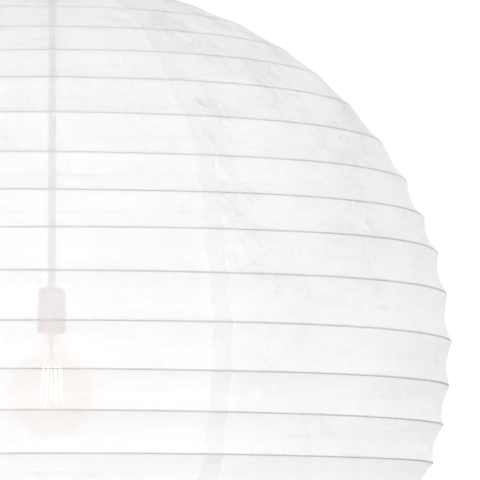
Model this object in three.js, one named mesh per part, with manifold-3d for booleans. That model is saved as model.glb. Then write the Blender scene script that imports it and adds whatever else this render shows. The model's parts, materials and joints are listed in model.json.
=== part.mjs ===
import * as THREE from 'three';
import { mergeVertices } from 'three/addons/utils/BufferGeometryUtils.js';
import Module from 'manifold-3d';

// A round paper lantern on a rigid stem. Split-cane hoops carry four paper gores, a three-armed
// spider carries the top ring, and the stem runs on down to a lampholder with a globe lamp.
// Millimetres, +Z up, and the origin is the middle of the face that meets the ceiling.

// Gaps
const GAP = 0.3;
const BORE_GAP = 0.5;

// Shade
const SHADE_RADIUS = 560;
const SHADE_HALF_HEIGHT = 518;
const SHADE_EQUATOR_Z = -660;
const MOUTH_RADIUS = 97;
const HOOP_COUNT = 24;
const HOOP_WIDTH = 2.8;
const HOOP_DEPTH = 2.4;
const HOOP_DROOP = 0.0107;
const HOOP_SCATTER = 0.0029;
const SCATTER_STEP = 1.46;
const SCATTER_PHASE = 1.36;
const HOOP_SLIP = 0.0067;
const SLIP_STATION = 7;
const SLIP_SPREAD = 1.8;
const PAPER_THICKNESS = 0.5;
const PAPER_TO_HOOP = 0.4;
const GORE_COUNT = 4;
const SEAM_ANGLE = THREE.MathUtils.degToRad(23.2);
const STATIONS = 24;
const RING_WIRE = 2;

// Stem and ceiling fitting
const STEM_RADIUS = 5.5;
const STEM_END_RADIUS = 5;
const STEM_BORE = 3.9;
const STEM_TOP_Z = -24;
const STEM_NECK_Z = -50;
const PLATE_RADIUS = 54;
const PLATE_THICKNESS = 2;
const SCREW_PITCH = 80;
const SCREW_RADIUS = 2.5;
const CABLE_HOLE_RADIUS = 7;
const CABLE_HOLE_Y = 32;
const BRIDGE_WIDTH = 20;
const BRIDGE_SPAN = 44;
const BRIDGE_FOOT = 14;
const BRIDGE_DEPTH = 38;
const SHEET = 2;
const NUT_FLATS = 17;
const NUT_HEIGHT = 5;
const BLOCK_SIZE = { x: 22, y: 18, z: 13 };
const BLOCK_Y = -38;
const TERMINAL_PITCH = 10;
const TERMINAL_SCREW_RADIUS = 2;
const CANOPY_RADIUS = 60;
const CANOPY_DEPTH = 58;
const CANOPY_WALL = 1.2;
const CANOPY_CORNER = 16;
const CANOPY_CEILING_GAP = 0.5;
const COLLAR_RADIUS = 11;
const COLLAR_HEIGHT = 12;
const GRUB_RADIUS = 2;

// Spider
const HUB_RADIUS = 17;
const HUB_HEIGHT = 6;
const ARM_COUNT = 3;
const ARM_WIDTH = 8;
const ARM_THICKNESS = 2;
const ARM_START = 9;

// Lampholder, measured down from its top face
const HOLDER_TOP_Z = -571;
const HOLDER_RADIUS = 19.8;
const HOLDER_WALL = 2;
const HOLDER_CORNER = 8;
const CAP_HEIGHT = 27;
const HOLDER_HEIGHT = 64.5;
const BOSS_DEPTH = 14;
const BOSS_RADIUS = 8.5;
const INSULATOR_TOP = 29;
const INSULATOR_HEIGHT = 10;
const SHELL_HEIGHT = 22;
const SHELL_RADIUS = 15;
const SHELL_WALL = 0.7;
const CONTACT_RADIUS = 5;
const CONTACT_HEIGHT = 1.4;
const WIRE_RADIUS = 1.2;
const WIRE_OFFSET = 1.8;

// Lamp
const GLOBE_RADIUS = 62.5;
const GLOBE_CENTRE = 148.5;
const GLASS_WALL = 0.9;
const NECK_ANGLE = THREE.MathUtils.degToRad(58);
const NECK_RADIUS = 13.2;
const NECK_TOP = 63.6;
const WAIST_RADIUS = 15;
const FOOT_RADIUS = 7;
const FOOT_TIP_RADIUS = 4;
const FOOT_TAPER = 12;
const FOOT_CLEARANCE = 9;
const LAMP_CAP_RADIUS = 13.3;
const LAMP_CAP_WALL = 0.5;
const THREAD_HEIGHT = 0.6;
const THREAD_PITCH = 3.6;
const TIP_RADIUS = 4.5;
const TIP_HEIGHT = 2.2;
const CAP_INSULATOR_HEIGHT = 4;
const CAP_INSULATOR_TOP_RADIUS = 6;
const FILAMENT_COUNT = 6;
const FILAMENT_RADIUS = 1;
const FILAMENT_TOP = 109;
const FILAMENT_BOTTOM = 166;
const CAGE_TOP_RADIUS = 11;
const CAGE_BOTTOM_RADIUS = 15;
const SUPPORT_RADIUS = 1.3;

const wasm = await Module();
wasm.setup();

const materials = {
  paper: finish(0xf7f5f2, 0.9, 0),
  cane: finish(0xc9b695, 0.7, 0),
  wire: finish(0xd8d8d6, 0.35, 0.9),
  steel: finish(0xb9bbbc, 0.35, 0.9),
  stem: finish(0x77787a, 0.4, 0.9),
  canopy: finish(0xf1f0ee, 0.45, 0),
  holder: finish(0x8a5f52, 0.4, 0.8),
  brass: finish(0xc9a457, 0.35, 0.9),
  ceramic: finish(0xeeeae2, 0.4, 0),
  plastic: finish(0xe9e8e4, 0.5, 0),
  blackGlass: finish(0x1c1a1a, 0.2, 0),
  brown: finish(0x6b4a35, 0.6, 0),
  blue: finish(0x3d5f94, 0.6, 0),
  amberGlass: finish(0xf3d9b0, 0.05, 0),
  clearGlass: finish(0xf4f4f2, 0.05, 0),
  filament: finish(0xffe2a0, 0.5, 0),
};

function finish(color, roughness, metalness) {
  return new THREE.MeshStandardMaterial({ color, roughness, metalness });
}

// A closed geometry as a solid, with its doubled vertices merged and its slivers dropped.
function solidFrom(geometry) {
  const bare = geometry.clone();
  bare.deleteAttribute('normal');
  bare.deleteAttribute('uv');
  const merged = mergeVertices(bare, 1e-4);
  const corners = merged.index.array;
  const kept = [];
  for (let i = 0; i < corners.length; i += 3) {
    const [a, b, c] = [corners[i], corners[i + 1], corners[i + 2]];
    if (a !== b && b !== c && c !== a) kept.push(a, b, c);
  }
  const vertProperties = new Float32Array(merged.attributes.position.array);
  return new wasm.Manifold(new wasm.Mesh({ numProp: 3, vertProperties, triVerts: new Uint32Array(kept) }));
}

function meshFrom(name, solid, material) {
  const { vertProperties, triVerts } = solid.getMesh();
  const geometry = new THREE.BufferGeometry();
  geometry.setAttribute('position', new THREE.BufferAttribute(vertProperties, 3));
  geometry.setIndex(new THREE.BufferAttribute(triVerts, 1));
  geometry.computeVertexNormals();
  const mesh = new THREE.Mesh(geometry, material);
  mesh.name = name;
  return mesh;
}

// A profile of [radius, height] points turned about Z. It starts and ends on the axis or closes.
function turned(points, stations = 24, start = 0) {
  const profile = points.map(([radius, height]) => new THREE.Vector2(radius, height));
  if (THREE.ShapeUtils.isClockWise(profile)) profile.reverse();
  if (profile[0].x > 0) profile.push(profile[0].clone());
  return solidFrom(new THREE.LatheGeometry(profile, stations, start).rotateX(Math.PI / 2));
}

// A flat shape thickened upwards from the height `bottom`.
function plate(shape, thickness, bottom) {
  const settings = { depth: thickness, bevelEnabled: false, curveSegments: 10 };
  return solidFrom(new THREE.ExtrudeGeometry(shape, settings).translate(0, 0, bottom));
}

function rod(radius, height, segments = 12) {
  return new THREE.CylinderGeometry(radius, radius, height, segments).rotateX(Math.PI / 2);
}

function box(x, y, z) {
  return new THREE.BoxGeometry(x, y, z);
}

// Points of a quarter-circle corner about a centre, from one angle to another in degrees.
function corner(centreRadius, centreHeight, radius, from, to, steps = 5) {
  const points = [];
  for (let i = 0; i <= steps; i++) {
    const angle = THREE.MathUtils.degToRad(from + (to - from) * i / steps);
    points.push([centreRadius + radius * Math.cos(angle), centreHeight + radius * Math.sin(angle)]);
  }
  return points;
}

// The shade's outline is an ellipse, cut off at both mouths and divided into bays by the hoops.
const mouthAngle = Math.acos(MOUTH_RADIUS / SHADE_RADIUS);
const meridian = new THREE.EllipseCurve(
  0, 0, SHADE_RADIUS, SHADE_HALF_HEIGHT, mouthAngle, -mouthAngle, true);
meridian.arcLengthDivisions = 2000;
const bays = HOOP_COUNT + 1;

// Station 0 is the top ring and the last is the bottom ring. Hoops droop towards the middle, where
// the paper above them is stretched, most of all the few below the shoulder, and they are never
// laid at quite even distances.
function stationPoint(station) {
  const share = station / bays;
  if (share === 0 || share === 1) return meridian.getPointAt(share);
  const droop = HOOP_DROOP * Math.sin(Math.PI * share);
  const scatter = HOOP_SCATTER * Math.sin(SCATTER_STEP * station - SCATTER_PHASE);
  const slip = HOOP_SLIP * Math.exp(-(((station - SLIP_STATION) / SLIP_SPREAD) ** 2));
  return meridian.getPointAt(share + droop - scatter + slip);
}

function outwardNormal(point) {
  return new THREE.Vector2(point.x / SHADE_RADIUS ** 2, point.y / SHADE_HALF_HEIGHT ** 2).normalize();
}

function inside(point, depth) {
  return point.clone().addScaledVector(outwardNormal(point), -depth);
}

const ringStart = SEAM_ANGLE + Math.PI / STATIONS;

function hoop(station) {
  const point = stationPoint(station);
  const centre = inside(point, PAPER_THICKNESS + PAPER_TO_HOOP + HOOP_DEPTH / 2);
  const across = outwardNormal(point).multiplyScalar(HOOP_DEPTH / 2);
  const along = new THREE.Vector2(-across.y, across.x).setLength(HOOP_WIDTH / 2);
  const corners = [[1, 1], [-1, 1], [-1, -1], [1, -1]].map(([a, b]) => {
    const place = centre.clone().addScaledVector(across, a).addScaledVector(along, b);
    return place.toArray();
  });
  return turned(corners, STATIONS, ringStart);
}

function ringCentre(station) {
  return inside(stationPoint(station), PAPER_THICKNESS + PAPER_TO_HOOP + RING_WIRE);
}

function wireRing(station) {
  const centre = ringCentre(station);
  return turned(corner(centre.x, centre.y, RING_WIRE, 0, 300), STATIONS, ringStart);
}

// All the paper as one thin shell, before it is divided into gores.
function paperShell() {
  const outer = [];
  const inner = [];
  for (let station = 0; station <= bays; station++) {
    const point = stationPoint(station);
    outer.push(point.toArray());
    inner.unshift(inside(point, PAPER_THICKNESS).toArray());
  }
  return turned([...outer, ...inner], STATIONS, ringStart);
}

function gore(shell, index) {
  const width = 2 * Math.PI / GORE_COUNT;
  const middle = SEAM_ANGLE - Math.PI / 2 + width * (index + 0.5);
  const reach = 2 * SHADE_RADIUS;
  const apex = GAP / Math.sin(width / 2);
  const shape = new THREE.Shape();
  shape.moveTo(apex, 0);
  shape.lineTo(apex + reach * Math.cos(width / 2), -reach * Math.sin(width / 2));
  shape.lineTo(apex + reach * Math.cos(width / 2), reach * Math.sin(width / 2));
  shape.closePath();
  const settings = { depth: 4 * SHADE_HALF_HEIGHT, bevelEnabled: false };
  const sector = new THREE.ExtrudeGeometry(shape, settings);
  sector.translate(0, 0, -2 * SHADE_HALF_HEIGHT).rotateZ(middle);
  return shell.intersect(solidFrom(sector));
}

function makeShade() {
  const group = new THREE.Group();
  group.position.z = SHADE_EQUATOR_Z;
  group.add(meshFrom('top_ring', wireRing(0), materials.wire));
  for (let station = 1; station <= HOOP_COUNT; station++) {
    const name = `hoop_${String(station).padStart(2, '0')}`;
    group.add(meshFrom(name, hoop(station), materials.cane));
  }
  group.add(meshFrom('bottom_ring', wireRing(bays), materials.wire));
  const shell = paperShell();
  for (let index = 0; index < GORE_COUNT; index++) {
    group.add(meshFrom(`paper_gore_${index + 1}`, gore(shell, index), materials.paper));
  }
  return group;
}

// The spider: a slotted hub and three flat arms, each ending in a hook that cradles the top ring.
// Heights are measured from the middle of the ring's wire.
function spiderArm(ringRadius) {
  const inner = RING_WIRE + GAP;
  const outer = inner + ARM_THICKNESS;
  const shape = new THREE.Shape();
  const hookEnd = THREE.MathUtils.degToRad(340);
  shape.moveTo(ARM_START, ARM_THICKNESS);
  shape.lineTo(ARM_START, 0);
  shape.lineTo(ringRadius - outer, 0);
  shape.absarc(ringRadius, 0, outer, Math.PI, hookEnd, false);
  shape.absarc(ringRadius, 0, inner, hookEnd, Math.PI, true);
  shape.lineTo(ringRadius - inner, ARM_THICKNESS);
  shape.closePath();
  const settings = { depth: ARM_WIDTH, bevelEnabled: false, curveSegments: 8 };
  const blade = new THREE.ExtrudeGeometry(shape, settings).rotateX(Math.PI / 2);
  return solidFrom(blade.translate(0, ARM_WIDTH / 2, 0));
}

function spiderHub() {
  const half = HUB_HEIGHT / 2;
  const bore = STEM_RADIUS + BORE_GAP;
  let hub = turned([[bore, -half], [HUB_RADIUS, -half], [HUB_RADIUS, half], [bore, half]]);
  for (let i = 0; i < ARM_COUNT; i++) {
    const slot = box(HUB_RADIUS, ARM_WIDTH + 2 * GAP, HUB_HEIGHT);
    slot.translate(ARM_START - GAP + HUB_RADIUS / 2, 0, half - GAP).rotateZ(armAngle(i));
    hub = hub.subtract(solidFrom(slot));
  }
  return hub;
}

// The arms meet the ring halfway between two of its stations, clear of the paper's seams.
function armAngle(index) {
  return SEAM_ANGLE - Math.PI / 4 + index * 2 * Math.PI / ARM_COUNT;
}

function makeSpider() {
  const group = new THREE.Group();
  const ring = ringCentre(0);
  group.position.z = SHADE_EQUATOR_Z + ring.y;
  group.add(meshFrom('spider_hub', spiderHub(), materials.steel));
  const arm = spiderArm(ring.x * Math.cos(Math.PI / STATIONS));
  for (let i = 0; i < ARM_COUNT; i++) {
    const mesh = meshFrom(`spider_arm_${i + 1}`, arm, materials.steel);
    mesh.rotation.z = armAngle(i);
    group.add(mesh);
  }
  return group;
}

// A collar that slides on the stem, with a tapped hole through its rear wall for a grub screw.
function collar(name, top, material) {
  const bore = STEM_RADIUS + GAP;
  const group = new THREE.Group();
  group.position.z = top - COLLAR_HEIGHT / 2;
  const half = COLLAR_HEIGHT / 2;
  const edge = 1;
  const ring = turned([
    [bore, -half], [COLLAR_RADIUS - edge, -half], [COLLAR_RADIUS, edge - half],
    [COLLAR_RADIUS, half - edge], [COLLAR_RADIUS - edge, half], [bore, half],
  ]);
  const hole = rod(GRUB_RADIUS + GAP, 2 * COLLAR_RADIUS).rotateX(Math.PI / 2);
  hole.translate(0, COLLAR_RADIUS, 0);
  group.add(meshFrom(name, ring.subtract(solidFrom(hole)), material));
  const length = COLLAR_RADIUS - bore - 2 * GAP;
  const centre = bore + GAP + length / 2;
  const screw = rod(GRUB_RADIUS, length).rotateX(Math.PI / 2).translate(0, centre, 0);
  const socket = rod(GRUB_RADIUS / 2, length, 6).rotateX(Math.PI / 2);
  socket.translate(0, centre + length / 2, 0);
  const grub = solidFrom(screw).subtract(solidFrom(socket));
  group.add(meshFrom(`${name}_screw`, grub, materials.steel));
  return group;
}

function slot(centreX, centreY, halfLength, radius) {
  const path = new THREE.Path();
  path.absarc(centreX + halfLength, centreY, radius, -Math.PI / 2, Math.PI / 2, false);
  path.absarc(centreX - halfLength, centreY, radius, Math.PI / 2, 3 * Math.PI / 2, false);
  path.closePath();
  return path;
}

function ceilingPlate() {
  const shape = new THREE.Shape().absarc(0, 0, PLATE_RADIUS, 0, 2 * Math.PI, false);
  shape.holes.push(slot(-SCREW_PITCH / 2, 0, SCREW_RADIUS, SCREW_RADIUS));
  shape.holes.push(slot(SCREW_PITCH / 2, 0, SCREW_RADIUS, SCREW_RADIUS));
  const cableHole = new THREE.Path();
  cableHole.absarc(0, CABLE_HOLE_Y, CABLE_HOLE_RADIUS, 0, 2 * Math.PI, false);
  shape.holes.push(cableHole);
  return plate(shape, PLATE_THICKNESS, -PLATE_THICKNESS);
}

// A strap bent into a bridge: its feet meet the plate at the sides and its web carries the stem.
function stemBridge() {
  const top = -PLATE_THICKNESS - GAP;
  const web = top - BRIDGE_DEPTH;
  const half = BRIDGE_SPAN / 2;
  const shape = new THREE.Shape();
  shape.moveTo(-half - BRIDGE_FOOT, top);
  shape.lineTo(-half + SHEET, top);
  shape.lineTo(-half + SHEET, web + SHEET);
  shape.lineTo(half - SHEET, web + SHEET);
  shape.lineTo(half - SHEET, top);
  shape.lineTo(half + BRIDGE_FOOT, top);
  shape.lineTo(half + BRIDGE_FOOT, top - SHEET);
  shape.lineTo(half, top - SHEET);
  shape.lineTo(half, web);
  shape.lineTo(-half, web);
  shape.lineTo(-half, top - SHEET);
  shape.lineTo(-half - BRIDGE_FOOT, top - SHEET);
  shape.closePath();
  const settings = { depth: BRIDGE_WIDTH, bevelEnabled: false };
  const strap = new THREE.ExtrudeGeometry(shape, settings).rotateX(Math.PI / 2);
  strap.translate(0, BRIDGE_WIDTH / 2, 0);
  const hole = rod(STEM_END_RADIUS + GAP, 3 * SHEET, 24).translate(0, 0, web + SHEET / 2);
  return solidFrom(strap).subtract(solidFrom(hole));
}

function lockNut(top) {
  const shape = new THREE.Shape();
  const cornerRadius = NUT_FLATS / Math.sqrt(3);
  for (let i = 0; i < 6; i++) {
    const angle = i * Math.PI / 3;
    const place = [cornerRadius * Math.cos(angle), cornerRadius * Math.sin(angle)];
    if (i === 0) shape.moveTo(...place);
    else shape.lineTo(...place);
  }
  shape.closePath();
  shape.holes.push(new THREE.Path().absarc(0, 0, STEM_END_RADIUS + GAP, 0, 2 * Math.PI, false));
  return plate(shape, NUT_HEIGHT, top - NUT_HEIGHT);
}

// The terminal block hangs under the plate, with a wire hole and a screw well for each core.
const blockZ = -PLATE_THICKNESS - GAP - BLOCK_SIZE.z / 2;

function terminalBlock() {
  let block = solidFrom(box(BLOCK_SIZE.x, BLOCK_SIZE.y, BLOCK_SIZE.z).translate(0, BLOCK_Y, blockZ));
  for (const side of [-1, 1]) {
    const x = side * TERMINAL_PITCH / 2;
    const wireHole = rod(WIRE_RADIUS + GAP, 2 * BLOCK_SIZE.y, 12).rotateX(Math.PI / 2);
    wireHole.translate(x, BLOCK_Y, blockZ);
    const well = rod(TERMINAL_SCREW_RADIUS, BLOCK_SIZE.z / 2, 12);
    well.translate(x, BLOCK_Y, blockZ - BLOCK_SIZE.z / 2);
    block = block.subtract(solidFrom(wireHole)).subtract(solidFrom(well));
  }
  return block;
}

// One insulated core: out of the terminal block, over in a low loop, and down the stem's middle to
// the lampholder.
function coreWire(side) {
  const wireEnd = HOLDER_TOP_Z - INSULATOR_TOP - INSULATOR_HEIGHT / 2;
  const blockFace = BLOCK_Y + BLOCK_SIZE.y / 2;
  const near = side * WIRE_OFFSET;
  const far = side * TERMINAL_PITCH / 2;
  const loop = 14;
  const dip = 4.5;
  const straight = 30;
  const route = new THREE.CatmullRomCurve3([
    new THREE.Vector3(far, BLOCK_Y, blockZ),
    new THREE.Vector3(far, blockFace, blockZ),
    new THREE.Vector3((near + far) / 2, blockFace + loop, blockZ + 1),
    new THREE.Vector3(near, -STEM_BORE, blockZ - dip),
    new THREE.Vector3(near, 0, STEM_TOP_Z - 1),
    new THREE.Vector3(near, 0, STEM_TOP_Z - straight),
    new THREE.Vector3(near, 0, wireEnd + straight),
    new THREE.Vector3(near, 0, wireEnd),
  ]);
  const section = new THREE.Shape().absarc(0, 0, WIRE_RADIUS, 0, 2 * Math.PI, false);
  const settings = { steps: 56, extrudePath: route, curveSegments: 3, bevelEnabled: false };
  return solidFrom(new THREE.ExtrudeGeometry(section, settings));
}

function stemTube() {
  const bottom = HOLDER_TOP_Z - BOSS_DEPTH + 1;
  const shoulder = HOLDER_TOP_Z + GAP;
  return turned([
    [STEM_BORE, STEM_TOP_Z], [STEM_END_RADIUS, STEM_TOP_Z], [STEM_END_RADIUS, STEM_NECK_Z],
    [STEM_RADIUS, STEM_NECK_Z], [STEM_RADIUS, shoulder], [STEM_END_RADIUS, shoulder],
    [STEM_END_RADIUS, bottom], [STEM_BORE, bottom],
  ]);
}

function canopyCup() {
  const top = -CANOPY_CEILING_GAP;
  const low = -CANOPY_DEPTH;
  const centre = CANOPY_RADIUS - CANOPY_CORNER;
  const bore = STEM_RADIUS + BORE_GAP;
  const inner = CANOPY_CORNER - CANOPY_WALL;
  return turned([
    [CANOPY_RADIUS, top],
    ...corner(centre, low + CANOPY_CORNER, CANOPY_CORNER, 0, -90),
    [bore, low],
    [bore, low + CANOPY_WALL],
    ...corner(centre, low + CANOPY_CORNER, inner, -90, 0),
    [CANOPY_RADIUS - CANOPY_WALL, top],
  ], 32);
}

function makeCeilingFitting() {
  const group = new THREE.Group();
  const webTop = -PLATE_THICKNESS - GAP - BRIDGE_DEPTH + SHEET;
  const webLow = webTop - SHEET;
  group.add(meshFrom('ceiling_plate', ceilingPlate(), materials.steel));
  group.add(meshFrom('stem_bridge', stemBridge(), materials.steel));
  group.add(meshFrom('lock_nut_upper', lockNut(webTop + GAP + NUT_HEIGHT), materials.brass));
  group.add(meshFrom('lock_nut_lower', lockNut(webLow - GAP), materials.brass));
  group.add(meshFrom('terminal_block', terminalBlock(), materials.plastic));
  group.add(meshFrom('core_wire_brown', coreWire(-1), materials.brown));
  group.add(meshFrom('core_wire_blue', coreWire(1), materials.blue));
  group.add(meshFrom('stem_tube', stemTube(), materials.stem));
  group.add(meshFrom('canopy_cup', canopyCup(), materials.canopy));
  group.add(collar('canopy_collar', -CANOPY_DEPTH - GAP, materials.canopy));
  const hubLow = SHADE_EQUATOR_Z + ringCentre(0).y - HUB_HEIGHT / 2;
  group.add(collar('shade_collar', hubLow - GAP, materials.stem));
  return group;
}

function holderCap() {
  const centre = HOLDER_RADIUS - HOLDER_CORNER;
  const bore = STEM_END_RADIUS + GAP;
  const wall = HOLDER_WALL;
  return turned([
    [bore, 0],
    ...corner(centre, -HOLDER_CORNER, HOLDER_CORNER, 90, 0),
    [HOLDER_RADIUS, -CAP_HEIGHT],
    [HOLDER_RADIUS - wall, -CAP_HEIGHT],
    ...corner(centre, -HOLDER_CORNER, HOLDER_CORNER - wall, 0, 90),
    [BOSS_RADIUS, -wall],
    [BOSS_RADIUS, -BOSS_DEPTH],
    [bore, -BOSS_DEPTH],
  ]);
}

function holderSleeve() {
  const top = -CAP_HEIGHT - GAP;
  const edge = 0.8;
  const inner = HOLDER_RADIUS - HOLDER_WALL;
  return turned([
    [inner, top], [HOLDER_RADIUS, top], [HOLDER_RADIUS, -HOLDER_HEIGHT + edge],
    [HOLDER_RADIUS - edge, -HOLDER_HEIGHT], [inner, -HOLDER_HEIGHT],
  ]);
}

function holderInsulator() {
  const radius = HOLDER_RADIUS - HOLDER_WALL - GAP;
  const shape = new THREE.Shape().absarc(0, 0, radius, 0, 2 * Math.PI, false);
  for (const side of [-1, 1]) {
    const hole = new THREE.Path();
    hole.absarc(side * WIRE_OFFSET, 0, WIRE_RADIUS + GAP, 0, 2 * Math.PI, false);
    shape.holes.push(hole);
  }
  return plate(shape, INSULATOR_HEIGHT, -INSULATOR_TOP - INSULATOR_HEIGHT);
}

// A rolled thread: a row of rounded ridges on a thin wall, open at both ends.
function threadedShell(radius, wall, top, height) {
  const turns = Math.floor(height / THREAD_PITCH);
  const outer = [[radius, -top]];
  for (let i = 0; i < turns; i++) {
    const start = top + (height - turns * THREAD_PITCH) / 2 + i * THREAD_PITCH;
    outer.push([radius, -start]);
    outer.push([radius + THREAD_HEIGHT, -start - THREAD_PITCH / 2]);
  }
  outer.push([radius, -top - height]);
  const inner = outer.map(([r, z]) => [r - wall, z]).reverse();
  return turned([...outer, ...inner], 16);
}

function disc(radius, top, height) {
  return turned([[0, -top - height], [radius, -top - height], [radius, -top], [0, -top]], 16);
}

const shellTop = INSULATOR_TOP + INSULATOR_HEIGHT + GAP;
const tipTop = shellTop + CONTACT_HEIGHT + GAP;
const capInsulatorTop = tipTop + TIP_HEIGHT + GAP;
const lampCapTop = capInsulatorTop + CAP_INSULATOR_HEIGHT + GAP;

function makeHolder() {
  const group = new THREE.Group();
  group.position.z = HOLDER_TOP_Z;
  const shell = threadedShell(SHELL_RADIUS, SHELL_WALL, shellTop, SHELL_HEIGHT);
  group.add(meshFrom('holder_cap', holderCap(), materials.holder));
  group.add(meshFrom('holder_sleeve', holderSleeve(), materials.holder));
  group.add(meshFrom('holder_insulator', holderInsulator(), materials.ceramic));
  group.add(meshFrom('holder_thread_shell', shell, materials.brass));
  const contact = disc(CONTACT_RADIUS, shellTop, CONTACT_HEIGHT);
  group.add(meshFrom('holder_contact', contact, materials.brass));
  return group;
}

// The bulb's outline from the bottom pole up to the end of the neck, moved in by `inset`.
function bulbOutline(inset) {
  const radius = GLOBE_RADIUS - inset;
  const path = new THREE.Path();
  path.absarc(0, -GLOBE_CENTRE, radius, -Math.PI / 2, NECK_ANGLE, false);
  const waist = WAIST_RADIUS - inset;
  const leave = new THREE.Vector2(radius * Math.cos(NECK_ANGLE), radius * Math.sin(NECK_ANGLE));
  const climb = (leave.x - waist) / Math.tan(NECK_ANGLE);
  path.quadraticCurveTo(waist, leave.y - GLOBE_CENTRE + climb, NECK_RADIUS - inset, -NECK_TOP - 2);
  path.lineTo(NECK_RADIUS - inset, -NECK_TOP);
  return path.getPoints(6).map((point) => [Math.max(point.x, 0), point.y]);
}

function bulbGlass() {
  return turned([...bulbOutline(0), ...bulbOutline(GLASS_WALL).reverse()]);
}

// The glass foot that seals the bulb and holds up the filaments.
function bulbFoot() {
  const top = lampCapTop + CAP_INSULATOR_HEIGHT;
  const tip = -FILAMENT_TOP + FOOT_CLEARANCE + FOOT_TIP_RADIUS;
  const taper = (FOOT_RADIUS + FOOT_TIP_RADIUS) / 2;
  return turned([
    [0, -top],
    [FOOT_RADIUS, -top],
    [taper, -top - FOOT_TAPER],
    ...corner(0, tip, FOOT_TIP_RADIUS, 0, -90, 3),
  ], 12);
}

// A straight round bar between two points.
function bar(from, to, radius, segments = 8) {
  const along = new THREE.Vector3().subVectors(to, from);
  const geometry = new THREE.CylinderGeometry(radius, radius, along.length(), segments);
  const turn = new THREE.Quaternion();
  turn.setFromUnitVectors(new THREE.Vector3(0, 1, 0), along.clone().normalize());
  geometry.applyQuaternion(turn);
  const middle = new THREE.Vector3().addVectors(from, to).multiplyScalar(0.5);
  return solidFrom(geometry.translate(middle.x, middle.y, middle.z));
}

// The filament cage: bars in a ring, wired at both ends to a rod down the middle.
function filamentCage() {
  const rodTop = new THREE.Vector3(0, 0, -FILAMENT_TOP + FOOT_CLEARANCE - GAP);
  const rodEnd = new THREE.Vector3(0, 0, -FILAMENT_BOTTOM - 2);
  let cage = bar(rodTop, rodEnd, SUPPORT_RADIUS);
  for (let i = 0; i < FILAMENT_COUNT; i++) {
    const angle = i * 2 * Math.PI / FILAMENT_COUNT;
    const x = Math.cos(angle);
    const y = Math.sin(angle);
    const high = new THREE.Vector3(CAGE_TOP_RADIUS * x, CAGE_TOP_RADIUS * y, -FILAMENT_TOP);
    const low = new THREE.Vector3(CAGE_BOTTOM_RADIUS * x, CAGE_BOTTOM_RADIUS * y, -FILAMENT_BOTTOM);
    const topRoot = new THREE.Vector3(0, 0, -FILAMENT_TOP + 3);
    const lowRoot = new THREE.Vector3(0, 0, -FILAMENT_BOTTOM);
    cage = cage.add(bar(high, low, FILAMENT_RADIUS));
    cage = cage.add(bar(topRoot, high, FILAMENT_RADIUS / 2, 6));
    cage = cage.add(bar(lowRoot, low, FILAMENT_RADIUS / 2, 6));
  }
  return cage;
}

function makeLamp() {
  const group = new THREE.Group();
  group.position.z = HOLDER_TOP_Z;
  const capHeight = NECK_TOP - GAP - lampCapTop;
  const cap = threadedShell(LAMP_CAP_RADIUS - THREAD_HEIGHT, LAMP_CAP_WALL, lampCapTop, capHeight);
  const insulatorLow = -capInsulatorTop - CAP_INSULATOR_HEIGHT;
  const insulator = turned([
    [0, insulatorLow],
    [LAMP_CAP_RADIUS - 1, insulatorLow],
    [CAP_INSULATOR_TOP_RADIUS, -capInsulatorTop],
    [0, -capInsulatorTop],
  ], 16);
  group.add(meshFrom('lamp_tip_contact', disc(TIP_RADIUS, tipTop, TIP_HEIGHT), materials.brass));
  group.add(meshFrom('lamp_cap_insulator', insulator, materials.blackGlass));
  group.add(meshFrom('lamp_cap_shell', cap, materials.brass));
  group.add(meshFrom('lamp_glass', bulbGlass(), materials.amberGlass));
  group.add(meshFrom('lamp_foot', bulbFoot(), materials.clearGlass));
  group.add(meshFrom('lamp_filaments', filamentCage(), materials.filament));
  return group;
}

const lantern = new THREE.Group();
lantern.add(makeCeilingFitting(), makeSpider(), makeShade(), makeHolder(), makeLamp());

export default lantern;
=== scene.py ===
import json
import math

import bmesh
import bpy
import numpy as np
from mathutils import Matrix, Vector


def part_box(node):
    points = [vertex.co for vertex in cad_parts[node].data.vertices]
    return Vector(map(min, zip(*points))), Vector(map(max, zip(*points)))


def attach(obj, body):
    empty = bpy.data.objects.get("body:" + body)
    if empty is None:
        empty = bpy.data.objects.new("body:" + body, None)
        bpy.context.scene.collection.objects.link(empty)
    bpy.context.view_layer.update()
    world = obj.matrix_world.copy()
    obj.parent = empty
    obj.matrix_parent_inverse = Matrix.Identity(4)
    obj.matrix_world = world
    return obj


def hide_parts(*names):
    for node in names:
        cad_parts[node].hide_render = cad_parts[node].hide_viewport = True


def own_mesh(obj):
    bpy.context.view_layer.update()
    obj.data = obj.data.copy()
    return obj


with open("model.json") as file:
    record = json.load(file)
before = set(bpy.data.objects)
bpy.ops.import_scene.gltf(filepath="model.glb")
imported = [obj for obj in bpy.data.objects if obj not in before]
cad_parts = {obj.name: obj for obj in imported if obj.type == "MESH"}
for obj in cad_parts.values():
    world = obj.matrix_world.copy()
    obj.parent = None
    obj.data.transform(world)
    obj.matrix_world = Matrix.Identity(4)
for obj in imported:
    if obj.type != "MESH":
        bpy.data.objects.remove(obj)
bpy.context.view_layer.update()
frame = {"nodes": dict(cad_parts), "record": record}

MM = 0.001
NODES = frame["nodes"]

# ---------------------------------------------------------------- the frame's own measures


def ring_of(node):
    """(radius, height) of the middle of a ring's section, from its CAD node."""
    points = [v.co for v in NODES[node].data.vertices]
    radii = [math.hypot(p.x, p.y) for p in points]
    heights = [p.z for p in points]
    return (min(radii) + max(radii)) / 2, (min(heights) + max(heights)) / 2


def radius_of(node):
    return max(math.hypot(v.co.x, v.co.y) for v in NODES[node].data.vertices)


def low_of(node):
    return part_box(node)[0][2]


def high_of(node):
    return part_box(node)[1][2]


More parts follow.
